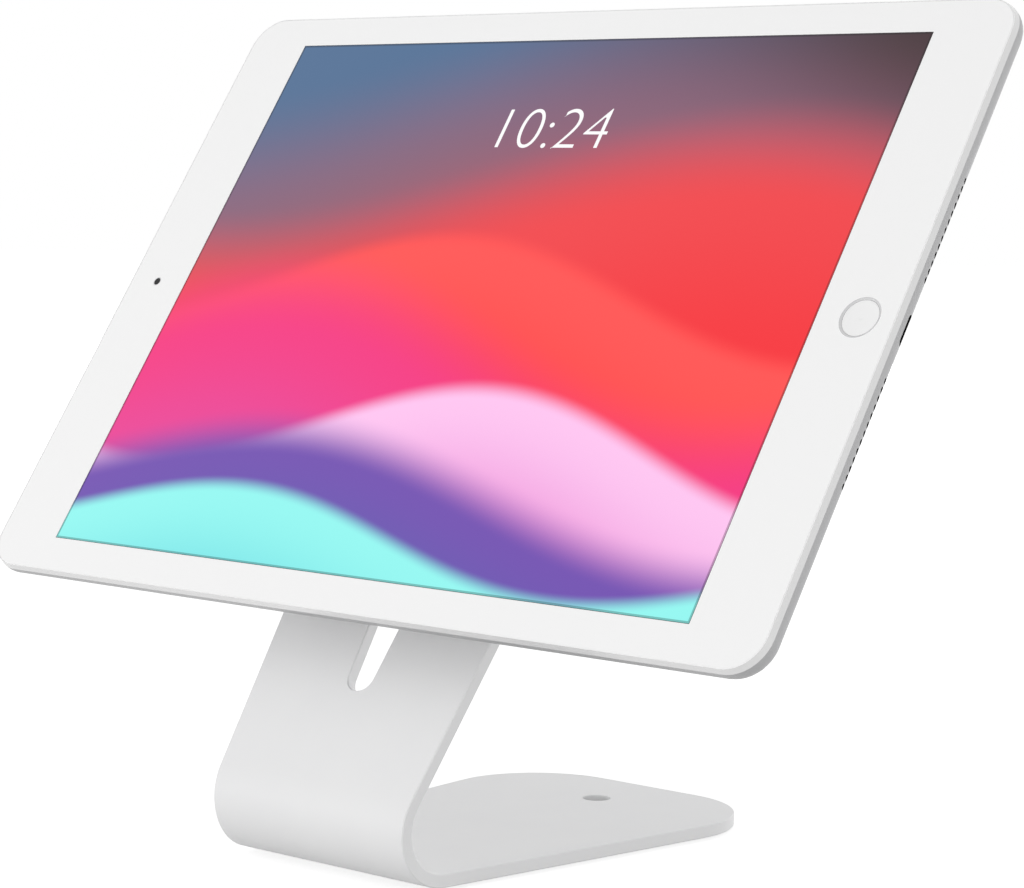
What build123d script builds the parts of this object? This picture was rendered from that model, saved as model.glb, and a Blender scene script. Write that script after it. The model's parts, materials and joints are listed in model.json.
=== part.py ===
from build123d import *
from math import cos, pi, radians, sin, sqrt
import os

# Tablet kiosk stand: a folded plate, a swivel hub behind the tablet and the tablet itself.
# +Z is up, the screen faces -Y and X runs along the long side of the tablet. The origin is on the
# counter, below the middle of the stand's length and width. All lengths are in millimetres.

# Folded plate
PLATE_T = 3.2
BEND_R = 13.8
LEAN = 33.8
STAND_DEPTH = 126.5
WAIST_W = 62.3
NECK_LENGTH = 157.0
NECK_TOP_W = 84.1
BASE_REAR_W = 88.0
PLATE_CORNER_R = 25.2
EDGE_BREAK = 0.25
BEND_SECTIONS = 9

# Holes in the plate
COUNTER_HOLE_D = 7.4
COUNTER_HOLE_INSET = 21.6
SLOT_LENGTH = 46.4
SLOT_LOW_R = 3.9
SLOT_HIGH_R = 6.3
SLOT_DROP = 97.9

# Rubber feet
FOOT_D = 12.0
FOOT_T = 0.8
FOOT_FRONT_SPACING = 30.0
FOOT_REAR_SPACING = 48.0
FOOT_FRONT_INSET = 8.0
FOOT_REAR_INSET = 16.0

# Swivel hub, from the neck towards the tablet
PIVOT_RISE = 122.1
HUB_D = 64.0
HUB_BASE_T = 3.6
HUB_EDGE = 0.6
FRICTION_T = 0.8
FRICTION_INSET = 9.0
ROTOR_T = 4.0
MOUNT_SIDE = 110.0
MOUNT_CORNER_R = 12.0
MOUNT_T = 2.0
MOUNT_EDGE = 0.5
PAD_MARGIN = 3.0
PAD_T = 1.1
SWING = 90.0

# Hub fasteners
FIT = 0.05
OVERRUN = 1.0
BOLT_SHOULDER_D = 10.0
BOLT_HEAD_D = 16.0
BOLT_HEAD_T = 2.0
BOLT_HEAD_POCKET_GAP = 0.2
BOLT_SOCKET_D = 6.0
BOLT_SOCKET_DEPTH = 1.4
BOLT_THREAD_D = 8.0
BOLT_TIP = 1.0
NUT_ACROSS = 13.0
NUT_T = 4.5
BACK_WASHER_D = 17.0
BACK_WASHER_T = 1.2
SPRING_WASHER_T = 0.8
SPRING_WASHER_CONE = 0.45
SPRING_WASHER_D = 16.0
CAP_WALL = 1.6
CAP_GAP = 0.6
CAP_EDGE = 1.4
SCREW_D = 4.0
SCREW_HEAD_D = 7.4
SCREW_RING_INSET = 13.0
HUB_SCREWS = 3
PLATE_SCREWS = 3
SCREW_BITE = 2.6
SOCKET_D = 2.6
SOCKET_DEPTH = 1.0
STOP_PIN_D = 4.0
STOP_RING_INSET = 4.5
STOP_DEPTH = 2.2
STOP_PIN_ANGLE = -135.0
STOP_SLACK = 0.25

# Tablet shell
TABLET_W = 250.6
TABLET_H = 174.8
TABLET_T = 7.5
TABLET_CORNER_R = 9.5
RIM_CHAMFER_W = 0.45
RIM_CHAMFER_DEPTH = 1.65
BACK_EDGE_R = 5.1
FLOOR_T = 0.9
WALL_T = 3.5
INNER_CHAMFER = 1.4
GLASS_T = 1.0
GLASS_EDGE_R = 0.2
GASKET_T = 0.12
GASKET_LIP_T = 0.5
GASKET_LIP_W = 2.0

# Screen, inside the white border of the glass
SIDE_BORDER = 21.8
END_BORDER = 9.75
PANEL_BORDER = 1.5
PANEL_T = 1.2
BACKLIGHT_BORDER = 2.5
BACKLIGHT_T = 1.4

# Home button, on the right of the screen
HOME_INSET = 10.0
HOME_RING_D = 10.6
HOME_RING_W = 0.6
HOME_RING_T = 1.2
HOME_RING_LAND = 0.1
HOME_RING_SLOPE = 0.3
HOME_DISH = 0.2
HOME_FLANGE_T = 0.4
HOME_TRAVEL = 0.25
SWITCH_GAP = 0.05
HOME_SWITCH_SIDE = 3.2
HOME_SWITCH_T = 0.5
HOME_BRACKET_W = 7.0
HOME_BRACKET_T = 0.3
HOME_BRACKET_SPAN = 17.0
HOME_BRACKET_LEG = 1.6

# Edge buttons: one power button on the left edge, two volume buttons on the top edge
EDGE_DEPTH = 3.75
KEY_L = 10.0
KEY_W = 2.4
KEY_PROUD = 0.35
KEY_TRAVEL = 0.35
KEY_FLANGE_T = 0.6
KEY_FLANGE_LAP = 0.7
KEY_SWITCH_L = 4.0
KEY_SWITCH_T = 1.6
KEY_NUB_D = 1.6
POWER_INSET = 19.9
VOLUME_INSET = 27.3
VOLUME_SPACING = 12.5

# Right edge: connector between two rows of speaker holes
PORT_DEPTH = 4.7
PORT_L = 7.8
PORT_W = 2.2
PORT_MOUTH_L = 7.4
PORT_MOUTH_W = 1.8
PORT_MOUTH_DEPTH = 7.5
PORT_SHELL = 0.3
PORT_BODY_DEPTH = 9.8
PORT_BODY_L = 10.4
SPEAKER_HOLES = 13
SPEAKER_HOLE_D = 1.55
SPEAKER_SPAN = 26.4
SPEAKER_FIRST_Y = 13.05
SPEAKER_END = 3.2
SPEAKER_BODY_W = 9.0
SPEAKER_BODY_T = 4.2
SPEAKER_MESH_W = 1.9
SPEAKER_MESH_DEPTH = 1.6

# Left edge: audio socket
AUDIO_INSET = 19.4
AUDIO_DEPTH = 4.0
AUDIO_BORE_D = 3.5
AUDIO_NOSE_D = 4.4
AUDIO_BORE_DEPTH = 14.0
AUDIO_BODY_L = 12.0
AUDIO_BODY_W = 7.0
AUDIO_BODY_T = 5.0

# Cameras
FRONT_CAMERA_INSET = 10.7
FRONT_CAMERA_SIDE = 6.0
FRONT_CAMERA_T = 2.4
FRONT_LENS_D = 3.0
FRONT_LENS_T = 0.8
REAR_CAMERA_INSET = 13.6
REAR_CAMERA_SIDE = 8.6
REAR_CAMERA_T = 3.2
REAR_RING_D = 7.4
REAR_RING_W = 0.9
REAR_LENS_D = 4.6
REAR_LENS_T = 0.5

# Battery and boards
BATTERY_SIDE_INSET = 31.8
BATTERY_END_INSET = 17.4
BATTERY_T = 2.5
BATTERY_GAP = 3.0
BATTERY_R = 2.0
BOARD_INSET = 17.3
BOARD_W = 18.0
BOARD_END_INSET = 28.4
BOARD_T = 0.8
SHIELD_W = 14.0
SHIELD_SPACING = 41.6
SHIELD_T = 1.2
SHIELD_WALL = 0.2
FLEX_W = 12.0
FLEX_T = 0.2

# Heights on the bend: its centre line, and the foot of the flat neck
BEND_Y = -STAND_DEPTH / 2 + BEND_R
BEND_Z = FOOT_T + BEND_R
BEND_ANGLE = 90 + LEAN
NECK_FOOT_Y = BEND_Y - BEND_R * cos(radians(LEAN))
NECK_FOOT_Z = BEND_Z + BEND_R * sin(radians(LEAN))
BASE_LENGTH = STAND_DEPTH - BEND_R

# Rings of the hub, measured in from its rim
FRICTION_D = HUB_D - 2 * FRICTION_INSET
SCREW_RING_R = HUB_D / 2 - SCREW_RING_INSET
STOP_RING_R = HUB_D / 2 - STOP_RING_INSET

# Levels behind the glass, along the tablet's own z, which points at the viewer
Z_GLASS_BACK = -GLASS_T
Z_LEDGE = Z_GLASS_BACK - GASKET_LIP_T
Z_PANEL_BACK = Z_GLASS_BACK - PANEL_T
Z_BACKLIGHT_BACK = Z_PANEL_BACK - BACKLIGHT_T
Z_FLOOR = -TABLET_T + FLOOR_T
Z_BACK = -TABLET_T
Z_PAD_BACK = Z_BACK - PAD_T
Z_MOUNT_BACK = Z_PAD_BACK - MOUNT_T
Z_ROTOR_BACK = Z_MOUNT_BACK - ROTOR_T
Z_FRICTION_BACK = Z_ROTOR_BACK - FRICTION_T
Z_NECK_FRONT = Z_FRICTION_BACK - HUB_BASE_T
Z_NECK_BACK = Z_NECK_FRONT - PLATE_T

# Places on the tablet, measured in from the shell's edges
SCREEN_W = TABLET_W - 2 * SIDE_BORDER
SCREEN_H = TABLET_H - 2 * END_BORDER
HOME_X = TABLET_W / 2 - HOME_INSET
FRONT_CAMERA_X = FRONT_CAMERA_INSET - TABLET_W / 2
REAR_CAMERA_X = REAR_CAMERA_INSET - TABLET_W / 2
REAR_CAMERA_Y = TABLET_H / 2 - REAR_CAMERA_INSET
POWER_Y = TABLET_H / 2 - POWER_INSET
VOLUME_UP_X = VOLUME_INSET - TABLET_W / 2
AUDIO_Y = AUDIO_INSET - TABLET_H / 2
BATTERY_W = TABLET_W / 2 - BATTERY_SIDE_INSET - BATTERY_GAP / 2
BATTERY_H = TABLET_H - 2 * BATTERY_END_INSET
BOARD_X = BOARD_INSET - TABLET_W / 2
BOARD_H = TABLET_H - 2 * BOARD_END_INSET
SHIELD_H = (BOARD_H - SHIELD_SPACING) / 2 - SHIELD_WALL

# Outlines inside the shell
CAVITY_W = TABLET_W - 2 * WALL_T
CAVITY_H = TABLET_H - 2 * WALL_T
CAVITY_CORNER_R = TABLET_CORNER_R - WALL_T
OPENING_W = TABLET_W - 2 * RIM_CHAMFER_W
OPENING_H = TABLET_H - 2 * RIM_CHAMFER_W
OPENING_CORNER_R = TABLET_CORNER_R - RIM_CHAMFER_W
GLASS_W = OPENING_W - 2 * GASKET_T
GLASS_H = OPENING_H - 2 * GASKET_T
GLASS_CORNER_R = OPENING_CORNER_R - GASKET_T

# The neck's own frame lies on its front face, with y up the neck and z towards the viewer
NECK_FRAME = Pos(0, NECK_FOOT_Y, NECK_FOOT_Z) * Rot(90 - LEAN, 0, 0)
TABLET_FRAME = NECK_FRAME * Pos(0, PIVOT_RISE, -Z_NECK_FRONT)


def slab(width, height, corner, front, back, x=0, y=0):
    """A rounded rectangular plate between two levels of the tablet's z."""
    outline = RectangleRounded(width, height, corner)
    return extrude(Pos(x, y, back) * outline, front - back)


def block(width, height, front, back, x=0, y=0):
    """A square-cornered block between two levels of the tablet's z."""
    return extrude(Pos(x, y, back) * Rectangle(width, height), front - back)


def disc(diameter, front, back, x=0, y=0):
    """A round plate between two levels of the tablet's z."""
    return extrude(Pos(x, y, back) * Circle(diameter / 2), front - back)


def on_ring(radius, angle):
    """A place on a circle about the pivot."""
    return radius * cos(radians(angle)), radius * sin(radians(angle))


def in_tablet(shape):
    """Lays a piece made in the tablet's frame behind the leaning glass."""
    return TABLET_FRAME * shape


def flared_outline(near_w, far_w, length):
    """A flat half of the blank: it flares from the bend and ends in two round corners."""
    corners = [(-near_w / 2, 0), (near_w / 2, 0), (far_w / 2, length), (-far_w / 2, length)]
    outline = make_face(Polyline(*corners, close=True))
    return fillet(outline.vertices().sort_by(Axis.Y)[-2:], PLATE_CORNER_R)


def half_bend():
    """Half the length of the bend, along the outside of the plate."""
    return BEND_R * radians(BEND_ANGLE) / 2


def end_width(far_w, length):
    """The plate's width where a flat half starts, so that its edge runs on smoothly from the waist."""
    flare = (far_w - WAIST_W) / (half_bend() / 2 + length)
    return WAIST_W + flare * half_bend() / 2


def bend_width(angle):
    """The plate's width round the bend, from the base at 0 degrees up to the neck."""
    from_waist = 2 * angle / BEND_ANGLE - 1
    if from_waist < 0:
        return WAIST_W + (end_width(BASE_REAR_W, BASE_LENGTH) - WAIST_W) * from_waist**2
    return WAIST_W + (end_width(NECK_TOP_W, NECK_LENGTH) - WAIST_W) * from_waist**2


def bend_section(width, thickness, angle):
    """A cut through the bent plate, square to it, at one angle round the bend."""
    section = Plane.XZ * Pos(0, PLATE_T / 2 - BEND_R) * Rectangle(width, thickness)
    return Pos(0, BEND_Y, BEND_Z) * Rot(-angle, 0, 0) * section


def bend():
    """The rolled bend, waisted along its length."""
    full = bend_section(NECK_TOP_W, PLATE_T, 0)
    axis = Axis((0, BEND_Y, BEND_Z), (-1, 0, 0))
    ring = revolve(full, axis, BEND_ANGLE)
    angles = [BEND_ANGLE * step / (BEND_SECTIONS - 1) for step in range(BEND_SECTIONS)]
    sections = [bend_section(bend_width(a), PLATE_T + 2 * OVERRUN, a) for a in angles]
    return ring & loft(sections)


def cable_slot():
    """The tapered slot in the neck that the charging lead passes through, round at both ends."""
    low_y = PIVOT_RISE - SLOT_DROP + SLOT_LOW_R
    high_y = PIVOT_RISE - SLOT_DROP + SLOT_LENGTH - SLOT_HIGH_R
    rise = (SLOT_HIGH_R - SLOT_LOW_R) / (high_y - low_y)
    run = sqrt(1 - rise**2)
    low = (SLOT_LOW_R * run, low_y - SLOT_LOW_R * rise)
    high = (SLOT_HIGH_R * run, high_y - SLOT_HIGH_R * rise)
    right = Line(low, high)
    top = ThreePointArc(high, (0, high_y + SLOT_HIGH_R), (-high[0], high[1]))
    left = Line((-high[0], high[1]), (-low[0], low[1]))
    bottom = ThreePointArc((-low[0], low[1]), (0, low_y - SLOT_LOW_R), low)
    outline = make_face([right, top, left, bottom])
    return extrude(Pos(0, 0, -PLATE_T - OVERRUN) * outline, PLATE_T + 2 * OVERRUN)


def break_edges(plate):
    """Breaks the sharp edges round the plate's skins: two on the base, two on the neck, two on the bend."""
    skins = plate.faces().sort_by(SortBy.AREA)[-6:]
    rims = [edge for face in skins for edge in face.edges()]
    return chamfer([edge for edge in rims if rims.count(edge) == 1], EDGE_BREAK)


def screw_angles(count):
    """Even places round a ring, the first at the top."""
    return [90 + 360 * n / count for n in range(count)]


def countersink(wide_level, sign, x, y, clearance):
    """The cone of a countersunk head: wide at one level and narrowing towards sign."""
    depth = (SCREW_HEAD_D - SCREW_D) / 2
    wide = Pos(x, y, wide_level) * Circle(SCREW_HEAD_D / 2 + clearance)
    narrow = Pos(x, y, wide_level + sign * depth) * Circle(SCREW_D / 2 + clearance)
    return loft([wide, narrow])


def folded_stand():
    base_outline = flared_outline(end_width(BASE_REAR_W, BASE_LENGTH), BASE_REAR_W, BASE_LENGTH)
    base = Pos(0, BEND_Y, FOOT_T) * extrude(base_outline, PLATE_T)
    neck_outline = flared_outline(end_width(NECK_TOP_W, NECK_LENGTH), NECK_TOP_W, NECK_LENGTH)
    neck = NECK_FRAME * extrude(neck_outline, -PLATE_T)
    plate = base + bend() + neck
    plate = break_edges(plate - NECK_FRAME * cable_slot())
    hole = Pos(0, STAND_DEPTH / 2 - COUNTER_HOLE_INSET, FOOT_T - OVERRUN) * Circle(COUNTER_HOLE_D / 2)
    plate -= extrude(hole, PLATE_T + 2 * OVERRUN)
    plate -= in_tablet(disc(BOLT_SHOULDER_D + 2 * FIT, Z_NECK_FRONT + OVERRUN, Z_NECK_BACK - OVERRUN))
    for angle in screw_angles(HUB_SCREWS):
        x, y = on_ring(SCREW_RING_R, angle)
        plate -= in_tablet(disc(SCREW_D + 2 * FIT, Z_NECK_FRONT + OVERRUN, Z_NECK_BACK - OVERRUN, x, y))
        plate -= in_tablet(countersink(Z_NECK_BACK, 1, x, y, FIT))
    return plate


def foot_pads():
    front_y = BEND_Y + FOOT_FRONT_INSET
    rear_y = STAND_DEPTH / 2 - FOOT_REAR_INSET
    spots = []
    for side in (-1, 1):
        spots.append((side * FOOT_FRONT_SPACING / 2, front_y))
        spots.append((side * FOOT_REAR_SPACING / 2, rear_y))
    return [extrude(Pos(x, y) * Circle(FOOT_D / 2), FOOT_T) for x, y in spots]


def hub_base():
    plate = disc(HUB_D, Z_FRICTION_BACK, Z_NECK_FRONT)
    plate = chamfer(plate.edges().group_by(Axis.Z)[-1], HUB_EDGE)
    plate -= disc(BOLT_SHOULDER_D + 2 * FIT, Z_FRICTION_BACK + OVERRUN, Z_NECK_FRONT - OVERRUN)
    for angle in screw_angles(HUB_SCREWS):
        x, y = on_ring(SCREW_RING_R, angle)
        plate -= disc(SCREW_D + 2 * FIT, Z_NECK_FRONT + SCREW_BITE + FIT, Z_NECK_FRONT - OVERRUN, x, y)
    x, y = on_ring(STOP_RING_R, STOP_PIN_ANGLE)
    plate -= disc(STOP_PIN_D, Z_FRICTION_BACK + OVERRUN, Z_NECK_FRONT - OVERRUN, x, y)
    return in_tablet(plate)


def stop_pin():
    x, y = on_ring(STOP_RING_R, STOP_PIN_ANGLE)
    front = Z_ROTOR_BACK + STOP_DEPTH - STOP_SLACK
    return in_tablet(disc(STOP_PIN_D, front, Z_NECK_FRONT, x, y))


def countersunk_screw(head_level, sign, length, x, y):
    """A flat-headed screw, its head face at one level and its point towards sign."""
    head = countersink(head_level, sign, x, y, 0)
    tip = head_level + sign * length
    shank = disc(SCREW_D, max(head_level, tip), min(head_level, tip), x, y)
    drive = Pos(x, y, head_level) * RegularPolygon(SOCKET_D / 2, 6)
    return head + shank - extrude(drive, sign * SOCKET_DEPTH)


def hub_base_screws():
    places = [on_ring(SCREW_RING_R, angle) for angle in screw_angles(HUB_SCREWS)]
    length = PLATE_T + SCREW_BITE
    return [in_tablet(countersunk_screw(Z_NECK_BACK, 1, length, x, y)) for x, y in places]


def friction_washer():
    washer = disc(FRICTION_D, Z_ROTOR_BACK, Z_FRICTION_BACK)
    hole = disc(BOLT_SHOULDER_D + 2 * FIT, Z_ROTOR_BACK + OVERRUN, Z_FRICTION_BACK - OVERRUN)
    return in_tablet(washer - hole)


def rotor_pocket_floor():
    """The level in the rotor on which the bolt's head bears."""
    return Z_MOUNT_BACK - BOLT_HEAD_T - BOLT_HEAD_POCKET_GAP


def bolt_tip():
    """The level that the bolt's thread reaches behind the neck."""
    stack = BACK_WASHER_T + 2 * (SPRING_WASHER_T + SPRING_WASHER_CONE) + NUT_T
    return Z_NECK_BACK - stack - BOLT_TIP


def pivot_bolt():
    floor = rotor_pocket_floor()
    head_top = floor + BOLT_HEAD_T
    head = disc(BOLT_HEAD_D, head_top, floor)
    drive = Pos(0, 0, head_top) * RegularPolygon(BOLT_SOCKET_D / 2, 6)
    shoulder = disc(BOLT_SHOULDER_D, floor, Z_NECK_BACK)
    thread = disc(BOLT_THREAD_D, Z_NECK_BACK, bolt_tip())
    thread = chamfer(thread.edges().sort_by(Axis.Z)[0], BOLT_TIP / 2)
    return in_tablet(head + shoulder + thread - extrude(drive, -BOLT_SOCKET_DEPTH))


def back_washer():
    washer = disc(BACK_WASHER_D, Z_NECK_BACK, Z_NECK_BACK - BACK_WASHER_T)
    return in_tablet(washer - thread_hole())


def thread_hole():
    """The clearance hole for the bolt's thread, through everything behind the neck."""
    return disc(BOLT_THREAD_D + 2 * FIT, Z_NECK_BACK + OVERRUN, bolt_tip() - OVERRUN)


def spring_washers():
    """Two coned washers face to face: they keep the friction in the hub."""
    inner = BOLT_THREAD_D / 2 + FIT
    outer = SPRING_WASHER_D / 2
    top = Z_NECK_BACK - BACK_WASHER_T
    middle = top - SPRING_WASHER_T - SPRING_WASHER_CONE
    profile = [
        (inner, top),
        (outer, top - SPRING_WASHER_CONE),
        (outer, middle),
        (inner, top - SPRING_WASHER_T),
    ]
    section = Plane.XZ * make_face(Polyline(*profile, close=True))
    first = revolve(section, Axis.Z)
    second = mirror(first, Plane.XY.offset(middle))
    return [in_tablet(first), in_tablet(second)]


def lock_nut():
    front = Z_NECK_BACK - BACK_WASHER_T - 2 * (SPRING_WASHER_T + SPRING_WASHER_CONE)
    hexagon = RegularPolygon(NUT_ACROSS / 2, 6, major_radius=False)
    nut = extrude(Pos(0, 0, front - NUT_T) * hexagon, NUT_T)
    return in_tablet(nut - thread_hole())


def hub_cap():
    """The cap over the nut: it snaps on to the rim of the washer under it."""
    inner_d = BACK_WASHER_D + 2 * FIT
    end = bolt_tip() - CAP_GAP
    shell = disc(inner_d + 2 * CAP_WALL, Z_NECK_BACK, end - CAP_WALL)
    shell = chamfer(shell.edges().sort_by(Axis.Z)[0], CAP_EDGE)
    return in_tablet(shell - disc(inner_d, Z_NECK_BACK + OVERRUN, end))


def stop_groove():
    """The arc groove in the rotor: its ends meet the stop pin at the two limits of the swing."""
    slack_angle = STOP_SLACK / STOP_RING_R * 180 / pi
    start = STOP_PIN_ANGLE - slack_angle
    sweep = SWING + 2 * slack_angle
    width = STOP_PIN_D + 2 * STOP_SLACK
    track = CenterArc((0, 0), STOP_RING_R, start, sweep)
    ends = [Pos(*on_ring(STOP_RING_R, a)) * Circle(width / 2) for a in (start, start + sweep)]
    outline = trace(track, width) + ends[0] + ends[1]
    return extrude(Pos(0, 0, Z_ROTOR_BACK - OVERRUN) * outline, STOP_DEPTH + OVERRUN)


def hub_rotor():
    rotor = disc(HUB_D, Z_MOUNT_BACK, Z_ROTOR_BACK)
    rotor = chamfer(rotor.edges().group_by(Axis.Z)[0], HUB_EDGE)
    rotor -= disc(BOLT_SHOULDER_D + 2 * FIT, Z_MOUNT_BACK, Z_ROTOR_BACK - OVERRUN)
    rotor -= disc(BOLT_HEAD_D + 2 * STOP_SLACK, Z_MOUNT_BACK + OVERRUN, rotor_pocket_floor())
    for angle in screw_angles(PLATE_SCREWS):
        x, y = on_ring(SCREW_RING_R, angle)
        rotor -= disc(SCREW_D + 2 * FIT, Z_MOUNT_BACK + OVERRUN, Z_MOUNT_BACK - SCREW_BITE - FIT, x, y)
    return in_tablet(rotor - stop_groove())


def mount_plate():
    plate = slab(MOUNT_SIDE, MOUNT_SIDE, MOUNT_CORNER_R, Z_PAD_BACK, Z_MOUNT_BACK)
    plate = chamfer(plate.edges().group_by(Axis.Z)[0], MOUNT_EDGE)
    for angle in screw_angles(PLATE_SCREWS):
        x, y = on_ring(SCREW_RING_R, angle)
        plate -= disc(SCREW_D + 2 * FIT, Z_PAD_BACK + OVERRUN, Z_MOUNT_BACK - OVERRUN, x, y)
        plate -= countersink(Z_PAD_BACK, -1, x, y, FIT)
    return in_tablet(plate)


def plate_screws():
    places = [on_ring(SCREW_RING_R, angle) for angle in screw_angles(PLATE_SCREWS)]
    length = MOUNT_T + SCREW_BITE
    return [in_tablet(countersunk_screw(Z_PAD_BACK, -1, length, x, y)) for x, y in places]


def adhesive_pad():
    side = MOUNT_SIDE - 2 * PAD_MARGIN
    return in_tablet(slab(side, side, MOUNT_CORNER_R - PAD_MARGIN, Z_BACK, Z_PAD_BACK))


def outer_form(grow):
    """The tablet's outside, grown evenly: chamfered round the glass and rounded to a flat back."""
    body = slab(TABLET_W + 2 * grow, TABLET_H + 2 * grow, TABLET_CORNER_R + grow, grow, Z_BACK - grow)
    body = fillet(body.edges().group_by(Axis.Z)[0], BACK_EDGE_R + grow)
    front = body.faces().sort_by(Axis.Z)[-1]
    return chamfer(front.edges(), RIM_CHAMFER_W, RIM_CHAMFER_DEPTH, reference=front)


def stadium(length, width):
    """A slot outline with round ends."""
    return SlotOverall(length, width)


def right_edge(outline, y, depth):
    """Lays an outline on the right edge, its length along the edge, facing out."""
    return Pos(0, y, -depth) * (Plane.YZ * outline)


def top_edge(outline, x, depth):
    """Lays an outline on the top edge, its length along the edge, facing out."""
    return Pos(x, 0, -depth) * (Plane.ZX * (Rot(0, 0, 90) * outline))


def edge_bar(outline_on_edge, direction, near, far):
    """A bar through an edge wall, between two distances from the tablet's middle."""
    start = Pos(*(near * part for part in direction)) * outline_on_edge
    return extrude(start, far - near, dir=direction)


LEFT = (-1, 0, 0)
RIGHT = (1, 0, 0)
TOP = (0, 1, 0)


def key_flange(clearance):
    """The outline of a key's inner flange."""
    lap = 2 * (KEY_FLANGE_LAP + clearance)
    return stadium(KEY_L + lap, KEY_W + lap)


def port_height():
    """The connector's height over its metal shell."""
    return PORT_MOUTH_W + 2 * PORT_SHELL


def key_places():
    """Name, outline maker, place along the edge, direction, inner wall and outer wall of each key."""
    side = (CAVITY_W / 2, TABLET_W / 2)
    top = (CAVITY_H / 2, TABLET_H / 2)
    return [
        ("power_button", right_edge, POWER_Y, LEFT, side),
        ("volume_up_button", top_edge, VOLUME_UP_X, TOP, top),
        ("volume_down_button", top_edge, VOLUME_UP_X + VOLUME_SPACING, TOP, top),
    ]


def wall_pocket(outline_on_edge, direction, inner):
    """A pocket through the floor's inner chamfer, so that a square piece can meet the wall."""
    return edge_bar(outline_on_edge, direction, inner - INNER_CHAMFER - OVERRUN, inner)


def speaker_mesh(side, clearance):
    """The outline of the mesh behind one row of holes."""
    middle_y = side * (SPEAKER_FIRST_Y + SPEAKER_SPAN / 2)
    length = SPEAKER_SPAN + SPEAKER_MESH_W + 2 * clearance
    return right_edge(stadium(length, SPEAKER_MESH_W + 2 * clearance), middle_y, PORT_DEPTH)


def speaker_ys():
    """Places of the holes in both rows, above and below the connector."""
    pitch = SPEAKER_SPAN / (SPEAKER_HOLES - 1)
    upper = [SPEAKER_FIRST_Y + n * pitch for n in range(SPEAKER_HOLES)]
    return upper + [-y for y in upper]


def rear_housing():
    shell = outer_form(0)
    cavity = slab(CAVITY_W, CAVITY_H, CAVITY_CORNER_R, OVERRUN, Z_FLOOR)
    shell -= chamfer(cavity.edges().group_by(Axis.Z)[0], INNER_CHAMFER)
    shell -= slab(OPENING_W, OPENING_H, OPENING_CORNER_R, OVERRUN, Z_LEDGE)
    for _, lay, place, direction, (inner, outer) in key_places():
        slot = lay(stadium(KEY_L + 2 * FIT, KEY_W + 2 * FIT), place, EDGE_DEPTH)
        shell -= edge_bar(slot, direction, inner - OVERRUN, outer + OVERRUN)
        shell -= wall_pocket(lay(key_flange(FIT), place, EDGE_DEPTH), direction, inner)
    port = Rectangle(PORT_BODY_L + 2 * FIT, port_height() + 2 * FIT)
    shell -= wall_pocket(right_edge(port, 0, PORT_DEPTH), RIGHT, CAVITY_W / 2)
    inner, outer = CAVITY_W / 2 - OVERRUN, TABLET_W / 2 + OVERRUN
    shell -= edge_bar(right_edge(stadium(PORT_L, PORT_W), 0, PORT_DEPTH), RIGHT, inner, outer)
    mesh_level = TABLET_W / 2 - SPEAKER_MESH_DEPTH
    for side in (-1, 1):
        shell -= edge_bar(speaker_mesh(side, FIT), RIGHT, inner, mesh_level)
    hole = Circle(SPEAKER_HOLE_D / 2)
    shell -= [edge_bar(right_edge(hole, y, PORT_DEPTH), RIGHT, inner, outer) for y in speaker_ys()]
    nose = Circle(AUDIO_NOSE_D / 2 + FIT)
    shell -= edge_bar(right_edge(nose, AUDIO_Y, AUDIO_DEPTH), LEFT, inner, outer)
    shell -= disc(REAR_RING_D, Z_FLOOR + OVERRUN, Z_BACK - OVERRUN, REAR_CAMERA_X, REAR_CAMERA_Y)
    return in_tablet(shell)


def glass_gasket():
    """The thin frame between the glass and the shell, with a lip that the glass lies on."""
    ring = slab(OPENING_W, OPENING_H, OPENING_CORNER_R, 0, Z_LEDGE)
    ring -= slab(GLASS_W, GLASS_H, GLASS_CORNER_R, OVERRUN, Z_GLASS_BACK)
    inner_w = GLASS_W - 2 * GASKET_LIP_W
    inner_h = GLASS_H - 2 * GASKET_LIP_W
    ring -= slab(inner_w, inner_h, GLASS_CORNER_R - GASKET_LIP_W, OVERRUN, Z_LEDGE - OVERRUN)
    return in_tablet(ring)


def front_glass():
    glass = slab(GLASS_W, GLASS_H, GLASS_CORNER_R, 0, Z_GLASS_BACK)
    glass = chamfer(glass.edges().group_by(Axis.Z)[-1], GLASS_EDGE_R)
    return in_tablet(glass - disc(HOME_RING_D, OVERRUN, Z_GLASS_BACK - OVERRUN, HOME_X))


def panel_width(border):
    return SCREEN_W + 2 * border


def panel_height(border):
    return SCREEN_H + 2 * border


def display_panel():
    width, height = panel_width(PANEL_BORDER), panel_height(PANEL_BORDER)
    return in_tablet(block(width, height, Z_GLASS_BACK, Z_PANEL_BACK))


def backlight_unit():
    width, height = panel_width(BACKLIGHT_BORDER), panel_height(BACKLIGHT_BORDER)
    return in_tablet(block(width, height, Z_PANEL_BACK, Z_BACKLIGHT_BACK))


def home_ring():
    """The metal ring round the button: its face slopes in to the button's rim."""
    ring = disc(HOME_RING_D, 0, -HOME_RING_T, HOME_X)
    wide = Pos(HOME_X, 0, 0) * Circle(HOME_RING_D / 2 - HOME_RING_LAND)
    narrow = Pos(HOME_X, 0, -HOME_RING_SLOPE) * Circle(HOME_RING_D / 2 - HOME_RING_W)
    ring -= loft([wide, narrow])
    return in_tablet(ring - disc(HOME_RING_D - 2 * HOME_RING_W, OVERRUN, -HOME_RING_T - OVERRUN, HOME_X))


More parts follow.
